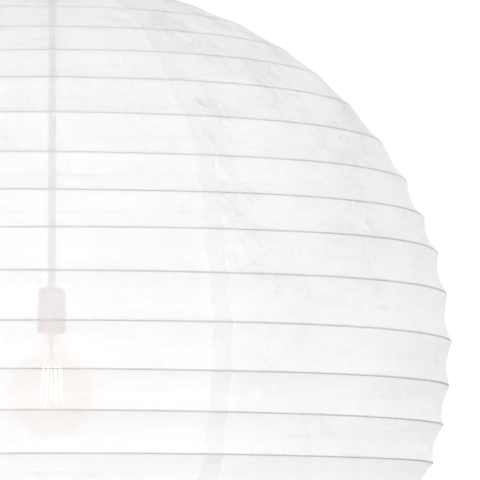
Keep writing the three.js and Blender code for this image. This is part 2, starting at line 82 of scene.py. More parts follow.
HOOPS = sorted(name for name in NODES if name.startswith("hoop_"))
GORES = sorted(name for name in NODES if name.startswith("paper_gore_"))
BAYS = len(HOOPS) + 1
TOP_Z = high_of("top_ring")
BOTTOM_Z = low_of("bottom_ring")
EQUATOR_Z = (TOP_Z + BOTTOM_Z) / 2
SHADE_RADIUS = max(radius_of(name) for name in HOOPS)

# ---------------------------------------------------------------- camera

CAMERA_DISTANCE = 6.27
CAMERA_BELOW_EQUATOR = 0.32
AIM_RIGHT = 0.264
AIM_ABOVE_EQUATOR = 0.157
CAMERA_LENS = 336


def make_camera():
    data = bpy.data.cameras.new("camera")
    data.lens = CAMERA_LENS
    data.sensor_width = 36
    data.clip_end = 200
    camera = bpy.data.objects.new("camera", data)
    bpy.context.scene.collection.objects.link(camera)
    camera.location = (0, -CAMERA_DISTANCE, EQUATOR_Z - CAMERA_BELOW_EQUATOR)
    aim = Vector((AIM_RIGHT, 0, EQUATOR_Z + AIM_ABOVE_EQUATOR)) - camera.location
    camera.rotation_euler = aim.to_track_quat("-Z", "Y").to_euler()
    bpy.context.scene.camera = camera


make_camera()

# ---------------------------------------------------------------- node helpers


class Nodes:
    """A short way to add and join shader nodes."""

    def __init__(self, tree):
        self.tree = tree
        tree.nodes.clear()

    def add(self, kind, **settings):
        node = self.tree.nodes.new(kind)
        for key, value in settings.items():
            if key in node.inputs:
                node.inputs[key].default_value = value
            else:
                setattr(node, key, value)
        return node

    def join(self, source, target):
        self.tree.links.new(source, target)

    def noise(self, vector, scale, detail=3.0, roughness=0.5):
        node = self.add("ShaderNodeTexNoise")
        node.inputs["Scale"].default_value = scale
        node.inputs["Detail"].default_value = detail
        node.inputs["Roughness"].default_value = roughness
        if vector is not None:
            self.join(vector, node.inputs["Vector"])
        return node.outputs["Fac"]

    def stretched(self, vector, scale):
        node = self.add("ShaderNodeMapping")
        node.inputs["Scale"].default_value = scale
        self.join(vector, node.inputs["Vector"])
        return node.outputs["Vector"]

    def ranged(self, value, low, high, to_low, to_high):
        node = self.add("ShaderNodeMapRange")
        for key, number in (("From Min", low), ("From Max", high),
                            ("To Min", to_low), ("To Max", to_high)):
            node.inputs[key].default_value = number
        self.join(value, node.inputs["Value"])
        return node.outputs["Result"]

    def maths(self, operation, first, second=None):
        node = self.add("ShaderNodeMath", operation=operation)
        for place, value in enumerate((first, second)):
            if isinstance(value, (int, float)):
                node.inputs[place].default_value = value
            elif value is not None:
                self.join(value, node.inputs[place])
        return node.outputs["Value"]

    def tinted(self, factor, first, second):
        node = self.add("ShaderNodeMix", data_type="RGBA")
        node.inputs[6].default_value = (*first, 1)
        node.inputs[7].default_value = (*second, 1)
        self.join(factor, node.inputs["Factor"])
        return node.outputs[2]

    def bump(self, height, strength, distance):
        node = self.add("ShaderNodeBump")
        node.inputs["Strength"].default_value = strength
        node.inputs["Distance"].default_value = distance
        self.join(height, node.inputs["Height"])
        return node.outputs["Normal"]


def new_material(name):
    material = bpy.data.materials.new(name)
    material.use_nodes = True
    return material, Nodes(material.node_tree)


def object_points(nodes):
    return nodes.add("ShaderNodeTexCoord").outputs["Object"]


def solid_material(name, light, dark, roughness, metallic=0.0, grain=400.0, stretch=(1, 1, 1),
                   bump=0.0002, spread=0.1, coat=0.0):
    """A surface with fine grain: its colour wanders between two tones and its roughness with it."""
    material, nodes = new_material(name)
    surface = nodes.add("ShaderNodeBsdfPrincipled")
    surface.inputs["Metallic"].default_value = metallic
    surface.inputs["Coat Weight"].default_value = coat
    points = nodes.stretched(object_points(nodes), stretch)
    fine = nodes.noise(points, grain, 4)
    broad = nodes.noise(object_points(nodes), grain / 12, 3)
    nodes.join(nodes.tinted(nodes.ranged(broad, 0.35, 0.65, 0, 1), light, dark),
               surface.inputs["Base Color"])
    nodes.join(nodes.ranged(fine, 0.3, 0.7, roughness - spread, roughness + spread),
               surface.inputs["Roughness"])
    nodes.join(nodes.bump(fine, 0.5, bump), surface.inputs["Normal"])
    output = nodes.add("ShaderNodeOutputMaterial")
    nodes.join(surface.outputs["BSDF"], output.inputs["Surface"])
    return material


# ---------------------------------------------------------------- materials

PAPER_WHITE = (0.985, 0.984, 0.986)
# The grey the paper is mixed towards: for its uneven tone, and as painted shade along folds,
# creases and crumpled facets.
PAPER_TONE_AND_PAINTED_SHADE = (0.73, 0.725, 0.73)
PASTED_PAPER = (0.978, 0.966, 0.957)
PAPER_CLEAR = 0.20
PASTE_CLEARS = 0.11
PAPER_GLOW_SHARE = 0.46


def ridges(nodes, cloth, lean, scale, low, high):
    """Thin bent lines along one direction of the sheet, from 0 to 1, in scattered patches."""
    turned_cloth = nodes.add("ShaderNodeMapping")
    turned_cloth.inputs["Rotation"].default_value = (0, 0, math.radians(lean))
    nodes.join(cloth, turned_cloth.inputs["Vector"])
    lines = nodes.noise(nodes.stretched(turned_cloth.outputs["Vector"], scale), 1.0, 2, 0.4)
    away = nodes.maths("ABSOLUTE", nodes.maths("SUBTRACT", lines, 0.5))
    sharp = nodes.ranged(away, 0.0, 0.035, 1, 0)
    where = nodes.ranged(nodes.noise(cloth, 5.5, 2), low, high, 0, 1)
    return nodes.maths("MULTIPLY", sharp, where)


def crumpled(nodes, cloth, lean, scale):
    """Crumpled facets: (a tone from 0 to 1 for each, thin lines from 0 to 1 along their edges). The
    paper darkens by both as painted shade of the crumples, and is bumped by the tone.
    """
    shift = nodes.add("ShaderNodeTexNoise")
    shift.inputs["Scale"].default_value = 26
    nodes.join(cloth, shift.inputs["Vector"])
    bent = nodes.add("ShaderNodeVectorMath", operation="MULTIPLY_ADD")
    bent.inputs[1].default_value = (0.03, 0.03, 0)
    nodes.join(shift.outputs["Color"], bent.inputs[0])
    nodes.join(cloth, bent.inputs[2])
    turned_cloth = nodes.add("ShaderNodeMapping")
    turned_cloth.inputs["Rotation"].default_value = (0, 0, math.radians(lean))
    nodes.join(bent.outputs["Vector"], turned_cloth.inputs["Vector"])
    cells = nodes.stretched(turned_cloth.outputs["Vector"], scale)
    facets = nodes.add("ShaderNodeTexVoronoi", voronoi_dimensions="2D", feature="F1")
    facets.inputs["Scale"].default_value = 1
    edges = nodes.add("ShaderNodeTexVoronoi", voronoi_dimensions="2D", feature="DISTANCE_TO_EDGE")
    edges.inputs["Scale"].default_value = 1
    for node in (facets, edges):
        nodes.join(cells, node.inputs["Vector"])
    tone = nodes.add("ShaderNodeSeparateXYZ")
    nodes.join(facets.outputs["Color"], tone.inputs["Vector"])
    return tone.outputs["X"], nodes.ranged(edges.outputs["Distance"], 0.0, 0.07, 1, 0)


def paper_material():
    """Washi: thin and matt, with cloudy thickness, long fibres, creases and folds. Its colour goes
    darker along folds, creases and crumpled facets: painted shade, and at the folds also the
    doubled paper.
    """
    material, nodes = new_material("washi")
    cloth = nodes.add("ShaderNodeUVMap", uv_map="paper").outputs["UV"]
    points = object_points(nodes)
    clouds = nodes.noise(points, 14, 5, 0.6)
    grain = nodes.noise(points, 300, 3, 0.6)
    streaks = nodes.noise(nodes.stretched(cloth, (7, 160, 1)), 1.0, 4, 0.6)
    fibres = nodes.noise(nodes.stretched(cloth, (45, 480, 1)), 1.0, 2, 0.5)
    upright = nodes.noise(nodes.stretched(cloth, (170, 16, 1)), 1.0, 3, 0.5)
    crease = nodes.add("ShaderNodeAttribute", attribute_name="crease").outputs["Fac"]
    paste = nodes.add("ShaderNodeAttribute", attribute_name="paste").outputs["Fac"]
    down = nodes.add("ShaderNodeSeparateXYZ")
    nodes.join(cloth, down.inputs["Vector"])
    # crumpled_zone is strongest near and right of the first seam and in the upper bays: it places
    # the creases and facets that bump the paper and are painted as shade.
    upper = nodes.ranged(down.outputs["Y"], 0.35, 0.75, 1, 0.3)
    crumpled_zone = nodes.maths("MULTIPLY", nodes.ranged(down.outputs["X"], 0.18, 0.27, 0.22, 1),
                          nodes.ranged(down.outputs["X"], 2.0, 2.4, 1, 0.3))
    crumpled_zone = nodes.maths("MULTIPLY", upper, crumpled_zone)
    # Slanting creases: they bump the paper and darken it as painted shade.
    slanting = nodes.maths("MULTIPLY", ridges(nodes, cloth, 34, (48, 9, 1), 0.44, 0.6), crumpled_zone)
    # The facet tones and edge lines darken the paper as painted shade of crumples.
    facets, edges = crumpled(nodes, cloth, 30, (85, 34, 1))
    patches = nodes.ranged(nodes.noise(cloth, 7, 3), 0.42, 0.62, 0.15, 1)
    patches = nodes.maths("MULTIPLY", patches, crumpled_zone)
    facets = nodes.maths("MULTIPLY", facets, patches)
    edges = nodes.maths("MULTIPLY", edges, patches)

    # dark sums painted shade (the crease attribute's fold and crumple lines, which at the folds is
    # also doubled paper, the slanting creases, the crumpled facets and their edges) with the
    # paper's uneven tone from fibres, clouds and upright streaks.
    dark = nodes.maths("MULTIPLY", crease, 0.5)
    for mark, weight in ((slanting, 0.5), (facets, 0.5), (edges, 0.95)):
        dark = nodes.maths("ADD", dark, nodes.maths("MULTIPLY", mark, weight))
    for mark, low, high, weight in ((fibres, 0.56, 0.78, 0.12), (clouds, 0.35, 0.7, 0.06),
                                    (upright, 0.5, 0.75, 0.06)):
        dark = nodes.maths("ADD", dark, nodes.ranged(mark, low, high, 0, weight))
    tone = nodes.add("ShaderNodeMix", data_type="RGBA")
    tone.inputs[7].default_value = (*PASTED_PAPER, 1)
    nodes.join(nodes.tinted(dark, PAPER_WHITE, PAPER_TONE_AND_PAINTED_SHADE), tone.inputs[6])
    nodes.join(nodes.maths("MULTIPLY", paste, nodes.ranged(clouds, 0.3, 0.7, 0.6, 1.0)),
               tone.inputs["Factor"])

    face = nodes.add("ShaderNodeBsdfDiffuse")
    glow = nodes.add("ShaderNodeBsdfTranslucent")
    height = nodes.maths("ADD", nodes.maths("MULTIPLY", grain, 0.4), streaks)
    height = nodes.maths("ADD", height, nodes.maths("MULTIPLY", upright, 0.5))
    height = nodes.maths("SUBTRACT", height, nodes.maths("MULTIPLY", slanting, 0.6))
    height = nodes.maths("ADD", height, facets)
    normal = nodes.bump(height, 0.5, 0.0016)
    for shader in (face, glow):
        nodes.join(tone.outputs[2], shader.inputs["Color"])
        nodes.join(normal, shader.inputs["Normal"])
    thin = nodes.maths("ADD", nodes.ranged(streaks, 0.3, 0.7, -0.03, 0.03),
                       nodes.ranged(clouds, 0.3, 0.7, 0.02, -0.02))
    body = nodes.add("ShaderNodeMixShader")
    nodes.join(nodes.maths("ADD", thin, PAPER_GLOW_SHARE), body.inputs[0])
    nodes.join(face.outputs["BSDF"], body.inputs[1])
    nodes.join(glow.outputs["BSDF"], body.inputs[2])

    clear = nodes.add("ShaderNodeBsdfTransparent")
    whole = nodes.add("ShaderNodeMixShader")
    # Where dark is higher, painted shade included, less light passes straight through.
    open_share = nodes.maths("SUBTRACT", PAPER_CLEAR, nodes.maths("MULTIPLY", dark, 0.15))
    open_share = nodes.maths("ADD", open_share, nodes.maths("MULTIPLY", paste, PASTE_CLEARS))
    nodes.join(nodes.maths("ADD", nodes.maths("MULTIPLY", thin, 0.5), open_share), whole.inputs[0])
    nodes.join(body.outputs["Shader"], whole.inputs[1])
    nodes.join(clear.outputs["BSDF"], whole.inputs[2])
    output = nodes.add("ShaderNodeOutputMaterial")
    nodes.join(whole.outputs["Shader"], output.inputs["Surface"])
    return material


def glass_material(name, tint, thick_tint, wisps):
    """Thin blown glass: it lets light straight through with a tint, and mirrors at its rim."""
    material, nodes = new_material(name)
    clear = nodes.add("ShaderNodeBsdfTransparent")
    cloud = nodes.noise(object_points(nodes), wisps, 2)
    nodes.join(nodes.tinted(nodes.ranged(cloud, 0.35, 0.65, 0, 1), tint, thick_tint),
               clear.inputs["Color"])
    shine = nodes.add("ShaderNodeBsdfGlossy")
    shine.inputs["Roughness"].default_value = 0.03
    rim = nodes.add("ShaderNodeLayerWeight")
    rim.inputs["Blend"].default_value = 0.12
    mix = nodes.add("ShaderNodeMixShader")
    nodes.join(nodes.ranged(rim.outputs["Facing"], 0.0, 1.0, 0.004, 0.12), mix.inputs[0])
    nodes.join(clear.outputs["BSDF"], mix.inputs[1])
    nodes.join(shine.outputs["BSDF"], mix.inputs[2])
    output = nodes.add("ShaderNodeOutputMaterial")
    nodes.join(mix.outputs["Shader"], output.inputs["Surface"])
    return material


def filament_material():
    """Phosphor-coated bars, lit, with a fine granular coat."""
    material, nodes = new_material("filament")
    surface = nodes.add("ShaderNodeBsdfPrincipled")
    surface.inputs["Roughness"].default_value = 0.5
    surface.inputs["Emission Strength"].default_value = 14
    grain = nodes.noise(object_points(nodes), 900, 3)
    coat = nodes.tinted(nodes.ranged(grain, 0.3, 0.7, 0, 1), (1.0, 0.93, 0.8), (1.0, 0.88, 0.68))
    nodes.join(coat, surface.inputs["Base Color"])
    nodes.join(coat, surface.inputs["Emission Color"])
    nodes.join(nodes.bump(grain, 0.4, 0.0002), surface.inputs["Normal"])
    output = nodes.add("ShaderNodeOutputMaterial")
    nodes.join(surface.outputs["BSDF"], output.inputs["Surface"])
    return material


MATERIALS = {
    "paper": paper_material(),
    "cane": solid_material("cane", (0.86, 0.79, 0.72), (0.77, 0.69, 0.62), 0.6, grain=600,
                           stretch=(1, 1, 6), bump=0.0003),
    "wire": solid_material("white_wire", (0.80, 0.80, 0.79), (0.72, 0.72, 0.71), 0.35, 0.0, 700),
    "steel": solid_material("plated_steel", (0.62, 0.63, 0.64), (0.50, 0.51, 0.53), 0.32, 1.0, 500,
                            (1, 1, 5)),
    "stem": solid_material("dark_nickel", (0.34, 0.285, 0.265), (0.26, 0.22, 0.205), 0.38, 0.8,
                           600, (6, 6, 0.4)),
    "canopy": solid_material("powder_coat", (0.86, 0.855, 0.845), (0.82, 0.815, 0.805), 0.48, 0.0,
                             1100, bump=0.0004),
    "holder": solid_material("copper_brown", (0.31, 0.11, 0.06), (0.23, 0.08, 0.045), 0.36, 0.7,
                             500, (1, 1, 7)),
    "brass": solid_material("brass", (0.80, 0.60, 0.26), (0.66, 0.47, 0.19), 0.3, 1.0, 500,
                            (5, 5, 1)),
    "ceramic": solid_material("porcelain", (0.86, 0.845, 0.81), (0.80, 0.785, 0.75), 0.2, 0.0, 300,
                              coat=0.5),
    "plastic": solid_material("nylon", (0.82, 0.81, 0.785), (0.76, 0.75, 0.725), 0.5, 0.0, 500),
    "black_glass": solid_material("black_glass", (0.02, 0.018, 0.02), (0.03, 0.028, 0.03), 0.12,
                                  0.0, 300, spread=0.04, coat=0.4),
    "brown_pvc": solid_material("brown_pvc", (0.16, 0.07, 0.035), (0.12, 0.05, 0.025), 0.45),
    "blue_pvc": solid_material("blue_pvc", (0.03, 0.09, 0.30), (0.02, 0.07, 0.24), 0.45),
    "amber_glass": glass_material("amber_glass", (0.98, 0.938, 0.91), (0.97, 0.925, 0.89), 30),
    "clear_glass": glass_material("clear_glass", (0.97, 0.97, 0.97), (0.93, 0.935, 0.94), 120),
    "filament": filament_material(),
}

# ---------------------------------------------------------------- mesh helpers

SMOOTH_ANGLE = math.radians(35)


def finished(name, mesh, slot, body, nodes=(), smooth=SMOOTH_ANGLE):
    """Shows a mesh as a piece: smooth but for its sharp edges, with its finish, on its body."""
    mesh.polygons.foreach_set("use_smooth", [True] * len(mesh.polygons))
    mesh.set_sharp_from_angle(angle=smooth)
    mesh.materials.append(MATERIALS[slot])
    piece = bpy.data.objects.new(name, mesh)
    bpy.context.scene.collection.objects.link(piece)
    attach(piece, body)
    if nodes:
        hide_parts(*nodes)
    return piece


def mesh_from(name, vertices, faces):
    mesh = bpy.data.meshes.new(name)
    mesh.from_pydata([tuple(v) for v in vertices], [], faces)
    return mesh


def weld(mesh):
    """Merges doubled points and turns every face outwards."""
    work = bmesh.new()
    work.from_mesh(mesh)
    bmesh.ops.remove_doubles(work, verts=work.verts, dist=1e-6)
    bmesh.ops.recalc_face_normals(work, faces=work.faces)
    work.to_mesh(mesh)
    work.free()
    return mesh


def turned(name, profile, steps=96):
    """A mesh from (radius, height) points turned about Z. It closes on itself or at the axis."""
    vertices, faces = [], []
    count = len(profile)
    for step in range(steps):
        angle = 2 * math.pi * step / steps
        for radius, height in profile:
            vertices.append((radius * math.cos(angle), radius * math.sin(angle), height))
    closes = profile[0][0] > 1e-6
    for step in range(steps):
        here, there = step * count, (step + 1) % steps * count
        for k in range(count if closes else count - 1):
            n = (k + 1) % count
            faces.append((here + k, there + k, there + n, here + n))
    return weld(mesh_from(name, vertices, faces))


def arc(radius, height, size, start, end, steps=8):
    """Points of a round corner about a centre, from one angle to another in degrees."""
    turn = [math.radians(start + (end - start) * k / steps) for k in range(steps + 1)]
    return [(radius + size * math.cos(a), height + size * math.sin(a)) for a in turn]


def tube(name, points, size, sides=12, closed=False):
    """A round bar through points, as one mesh with flat ends or closed on itself."""
    points = [Vector(p) for p in points]
    count = len(points)
    vertices, faces = [], []
    for k, point in enumerate(points):
        before = points[k - 1] if closed or k else point
        after = points[(k + 1) % count] if closed or k < count - 1 else point
        along = (after - before).normalized()
        side = along.cross(Vector((0, 0, 1)))
        if side.length < 1e-3:
            side = along.cross(Vector((1, 0, 0)))
        side.normalize()
        up = side.cross(along)
        for s in range(sides):
            angle = 2 * math.pi * s / sides
            vertices.append(point + size * (math.cos(angle) * side + math.sin(angle) * up))
    for k in range(count if closed else count - 1):
        here, there = k * sides, (k + 1) % count * sides
        for s in range(sides):
            n = (s + 1) % sides
            faces.append((here + s, here + n, there + n, there + s))
    if not closed:
        faces.append(tuple(reversed(range(sides))))
        faces.append(tuple(range((count - 1) * sides, count * sides)))
    return weld(mesh_from(name, vertices, faces))


# ---------------------------------------------------------------- smooth random fields

random = np.random.default_rng(11)
SHUFFLE = random.permutation(256)
SLOPES = random.normal(size=(256, 3))
SLOPES /= np.linalg.norm(SLOPES, axis=1)[:, None]


def field(x, y, z):
    """Smooth noise from about -1 to 1 at arrays of points, the same at each run."""
    point = np.stack(np.broadcast_arrays(x, y, z), axis=-1)
    cell = np.floor(point).astype(int)
    part = point - cell
    ease = part ** 3 * (part * (part * 6 - 15) + 10)
    total = np.zeros(point.shape[:-1])
    for corner in np.ndindex(2, 2, 2):
        at = (cell + corner) & 255
        deepest = SHUFFLE[at[..., 2]]
        deeper = SHUFFLE[(at[..., 1] + deepest) & 255]
        slope = SLOPES[SHUFFLE[(at[..., 0] + deeper) & 255]]
        share = np.where(corner, ease, 1 - ease).prod(axis=-1)
        total += share * (slope * (part - corner)).sum(axis=-1)
    return 1.6 * total


# ---------------------------------------------------------------- the shade's stations

CANE_RADIUS = 1.15 * MM
WIRE_RADIUS = 2.0 * MM
PAPER_LIFT = 0.15 * MM
HALF_STATION = math.radians(7.5)
SEAM_ANGLE = math.radians(23.2)
GORE_ANGLE = 2 * math.pi / len(GORES)

middles = [ring_of(name) for name in ["top_ring", *HOOPS, "bottom_ring"]]
station_radius = np.array([m[0] for m in middles])
station_height = np.array([m[1] for m in middles])
station_radius[[0, -1]] *= math.cos(HALF_STATION)
slope_radius = np.gradient(station_radius)
slope_height = np.gradient(station_height)
slope_length = np.hypot(slope_radius, slope_height)
out_radius = -slope_height / slope_length
out_height = slope_radius / slope_length
section = np.full(BAYS + 1, CANE_RADIUS)
section[[0, -1]] = WIRE_RADIUS
BENT_STATION = 10
BENT_SPREAD = 2.2
BENT_BY = 2.5 * MM
wobble_phase = random.uniform(0, 2 * math.pi, size=(BAYS + 1, 6))
wobble_size = random.uniform(0.5, 1.0, size=(BAYS + 1, 6))
wobble_size[[0, -1]] = 0


def wobble(station, angle):
    """How far a hoop stands off its true circle at an angle, outwards and upwards, in metres."""
    waves = [wobble_size[station, k] * np.sin(turns * angle + wobble_phase[station, k])
             for k, turns in enumerate((2, 3, 5, 2, 3, 7))]
    outwards = (0.9 * waves[0] + 0.5 * waves[1] + 0.2 * waves[2]) * MM
    upwards = (0.6 * waves[3] + 0.45 * waves[4] + 0.2 * waves[5]) * MM
    bend = BENT_BY * math.exp(-(((station - BENT_STATION) / BENT_SPREAD) ** 2))
    return outwards, upwards - bend * np.cos(3 * angle)


def hoop_line(station, angle):
    """(radius, height) of a hoop's own middle line at an array of angles."""
    outwards, upwards = wobble(station, angle)
    return station_radius[station] + outwards, station_height[station] + upwards


def paper_line(station, angle):
    """(radius, height) of the paper where it is glued over a hoop."""
    radius, height = hoop_line(station, angle)
    reach = section[station] + PAPER_LIFT
    return radius + reach * out_radius[station], height + reach * out_height[station]


def place(angle, radius, height):
    """Points on the shade. Angles run from the front towards the right."""
    return np.stack([radius * np.sin(angle), -radius * np.cos(angle), height], axis=-1)


# ---------------------------------------------------------------- paper

BAY_LENGTH_MM = 60
ROWS_IN_BAY = (0, 0.05, 0.12, 0.21, 0.31, 0.40, 0.47, 0.53, 0.58, 0.65, 0.74, 0.84, 0.92, 0.97)
COLUMNS_IN_GORE = 132
FOLD_AT = 0.55
FOLD_WIDTH = 0.035
FOLD_SHARE = 0.35
GATHER_DEPTH = 1.1
STREAK_DEPTH = 0.35
CRUMPLE_DEPTH = 1.5
SLACK_FROM_ROW = 4
SLACK_OVER_ROWS = 6
TAUT_SAG = 0.7
SLACK_SAG = 5.6
OVERLAP = 13 * MM
OVERLAP_LIFT = 0.45 * MM
HEM_THICKNESS = 0.12 * MM
SEAM_PUCKER = 45 * MM
STEP_SHARE = 0.15
CREASE_AWAY = 0.85
CREASE_BY_SEAM = 0.7


def sag_depth(row):
    """How deep the paper hangs in between hoops: taut at the top, slack from the middle down."""
    slack = np.clip((row - SLACK_FROM_ROW) / SLACK_OVER_ROWS, 0, 1)
    return (TAUT_SAG + SLACK_SAG * slack * slack * (3 - 2 * slack)) * MM


def paper_surface(row, angle):
    """Points of the paper and how creased it is, at arrays of station rows and angles."""
    bay = np.minimum(np.floor(row).astype(int), BAYS - 1)
    part = row - bay
    radius = np.zeros_like(angle)
    height = np.zeros_like(angle)
    for b in np.unique(bay):
        here = bay == b
        top = paper_line(b, angle[here])
        low = paper_line(b + 1, angle[here])
        radius[here] = top[0] + (low[0] - top[0]) * part[here]
        height[here] = top[1] + (low[1] - top[1]) * part[here]
    normal_radius = (out_radius[bay] + out_radius[bay + 1]) / 2
    normal_height = (out_height[bay] + out_height[bay + 1]) / 2

    around = radius / MM
    down = row * BAY_LENGTH_MM
    x, y = np.sin(angle), np.cos(angle)

    def spread(size, third):
        """Noise over the sheet in patches of a size in mm."""
        return field(x * around / size, y * around / size, third)

    belly = 4 * part * (1 - part)
    fold = np.where(part < FOLD_AT, part / FOLD_AT, (1 - part) / (1 - FOLD_AT))
    patch = 0.5 + 0.5 * spread(260, bay * 3.7)
    folded = np.clip(0.5 + 1.2 * spread(90, bay * 5.3 + 40), 0, 1)
    depth = sag_depth(row) * (0.55 + 0.9 * patch)
    inwards = depth * ((1 - FOLD_SHARE * folded) * belly + FOLD_SHARE * folded * fold ** 1.5)

    pinned = np.sqrt(np.clip(belly, 0, 1))
    gathers = spread(20, down / 75)
    where = np.clip(0.35 + spread(150, down / 120 + 9), 0, 1)
    streaks = spread(75, down / 8 + 17)
    twist = angle * around / 26
    crumple = 1 - 2 * np.abs(field(x * around / 300, (twist + down / 22), (down / 26 - twist)))
    # Patches where the paper is crumpled: they push it in and, through the crease attribute, add
    # painted shade along crumple lines.
    crumple_patches = np.clip(1.4 * field(x * around / 120 + 5, y * around / 120, down / 90 + 31), 0, 1)
    loose = 0.45 + 0.55 * np.clip((row - SLACK_FROM_ROW) / SLACK_OVER_ROWS, 0, 1)
    inwards = inwards + pinned * loose * MM * (
        GATHER_DEPTH * where * gathers + STREAK_DEPTH * streaks + CRUMPLE_DEPTH * crumple_patches * crumple)

    # The crease attribute is painted shade in the paper's material, along mid-bay folds and crumple
    # lines; at the folds it is also doubled paper.
    dashes = np.clip(0.35 + spread(35, bay + 60), 0, 1)
    crease = folded * dashes * np.exp(-((part - FOLD_AT) / FOLD_WIDTH) ** 2)
    crease = crease + 0.35 * crumple_patches * np.clip(crumple, 0, 1) ** 6 * pinned
    radius = radius - inwards * normal_radius
    height = height - inwards * normal_height
    return radius, height, normal_radius, normal_height, crease


SEAM_JOGS = random.normal(scale=2.2 * MM, size=(len(GORES), BAYS + 3))


def gore_edges(row, seam):
    """Half the overlap's width at a seam, in radians: narrower near the mouths, and hand-cut."""
    radius = np.interp(row, np.arange(BAYS + 1), station_radius)
    share = 0.55 + 0.45 * np.sqrt(np.clip(radius / SHADE_RADIUS, 0, 1))
    ragged = 1 + 0.10 * field(row * 1.9, seam * 7.1, 0.5) + 0.08 * field(row * 6.5, seam * 3.3, 4.5)
    half_bay = row + 1 - FOLD_AT
    step = np.floor(half_bay).astype(int)
    ease = np.clip((half_bay - step) / 0.08, 0, 1)
    jogs = SEAM_JOGS[seam]
    drift = 4.0 * MM * field(row / 3.1, seam * 5.7, 8.5)
    drift = drift + jogs[step] + (jogs[step + 1] - jogs[step]) * ease
    return OVERLAP * share * ragged / radius, drift / radius


def lay_flat(mesh, flat):
    """Keeps each point's place on the flat sheet, in metres, for the paper's pattern."""
    layer = mesh.uv_layers.new(name="paper")
    corners = np.empty(len(mesh.loops), int)
    mesh.loops.foreach_get("vertex_index", corners)
    layer.data.foreach_set("uv", flat[corners].astype(np.float32).ravel())


def make_gore(index):
    """One gore: a wide panel from mouth to mouth, its left edge under and its right edge over."""
    rows = np.array([b + part for b in range(BAYS) for part in ROWS_IN_BAY] + [BAYS], float)
    first = SEAM_ANGLE + index * GORE_ANGLE
    left_half, left_drift = gore_edges(rows, index)
    right_half, right_drift = gore_edges(rows, (index + 1) % len(GORES))
    start = first + left_drift - left_half
    end = first + GORE_ANGLE + right_drift + right_half
    across = np.linspace(0, 1, COLUMNS_IN_GORE + 1)
    angle = start[:, None] + (end - start)[:, None] * across
    row = np.repeat(rows[:, None], len(across), axis=1)
    radius, height, normal_radius, normal_height, crease = paper_surface(row.ravel(), angle.ravel())

    over = (angle - (end - 2 * right_half)[:, None]) / (STEP_SHARE * right_half[:, None])
    lift = (OVERLAP_LIFT * np.clip(over, 0, 1)).ravel()
    under = ((start + 2 * left_half)[:, None] - angle) / (STEP_SHARE * left_half[:, None])
    paste = np.clip(np.maximum(over, under), 0, 1).ravel()
    middle = np.minimum(np.abs(angle - (start + left_half)[:, None]),
                        np.abs(angle - (end - right_half)[:, None])).ravel()
    by_seam = np.exp(-(middle * radius / SEAM_PUCKER) ** 2)
    # The painted crease shade is stronger near the seams.
    crease = crease * (CREASE_AWAY + CREASE_BY_SEAM * by_seam)
    radius = radius + lift * normal_radius
    height = height + lift * normal_height
    points = place(angle.ravel(), radius, height)
    wide = len(across)
    faces = [(r * wide + c, r * wide + c + 1, (r + 1) * wide + c + 1, (r + 1) * wide + c)
             for r in range(len(rows) - 1) for c in range(wide - 1)]
    name = f"washi_gore_{index + 1}"
    mesh = mesh_from(name, points, [tuple(reversed(f)) for f in faces])
    for key, values in (("crease", crease), ("paste", paste)):
        layer = mesh.attributes.new(key, "FLOAT", "POINT")
        layer.data.foreach_set("value", values.astype(np.float32))
    flat = np.stack([angle.ravel() * SHADE_RADIUS, row.ravel() * BAY_LENGTH_MM * MM], axis=1)
    lay_flat(mesh, flat)
    piece = finished(name, mesh, "paper", "shade", [GORES[index]], math.radians(180))
    return piece


def mouth_hem(name, station, side):
    """The paper's edge, turned over the mouth's wire and glued down inside."""
    angle = np.linspace(0, 2 * math.pi, 193)[:-1]
    lean = math.degrees(math.atan2(out_height[station], out_radius[station]))
    rows = []
    turns = np.linspace(0, 200, 15)
    for turn, inset in [*((t, 0) for t in turns), *((t, HEM_THICKNESS) for t in turns[::-1])]:
        where = math.radians(lean + side * turn)
        rough = 0.08 * MM * field(np.sin(angle) * 9, np.cos(angle) * 9, turn / 40)
        reach = WIRE_RADIUS + PAPER_LIFT + HEM_THICKNESS + rough - inset
        rows.append(place(angle, station_radius[station] + reach * math.cos(where),
                          station_height[station] + reach * math.sin(where)))
    wide, deep = len(angle), len(rows)
    faces = [(r * wide + c, r * wide + (c + 1) % wide, (r + 1) % deep * wide + (c + 1) % wide,
              (r + 1) % deep * wide + c) for r in range(deep) for c in range(wide)]
    mesh = weld(mesh_from(name, np.concatenate(rows), faces))
    mesh.attributes.new("crease", "FLOAT", "POINT")
    flat = np.stack([np.tile(angle * station_radius[station], len(rows)),
                     np.repeat(np.arange(len(rows)) * 0.5 * MM, wide)], axis=1)
    lay_flat(mesh, flat)
    return finished(name, mesh, "paper", "shade" if station == 0 else "mouth")


def make_paper():
    for index in range(len(GORES)):
        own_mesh(make_gore(index))
    mouth_hem("washi_hem_top", 0, 1)
    mouth_hem("washi_hem_bottom", BAYS, -1)


# ---------------------------------------------------------------- hoops and mouth wires

HOOP_STEPS = 180
CANE_SIDES = 8
SPLICE_LENGTH = 21 * MM
SPLICE_SWELL = 0.5


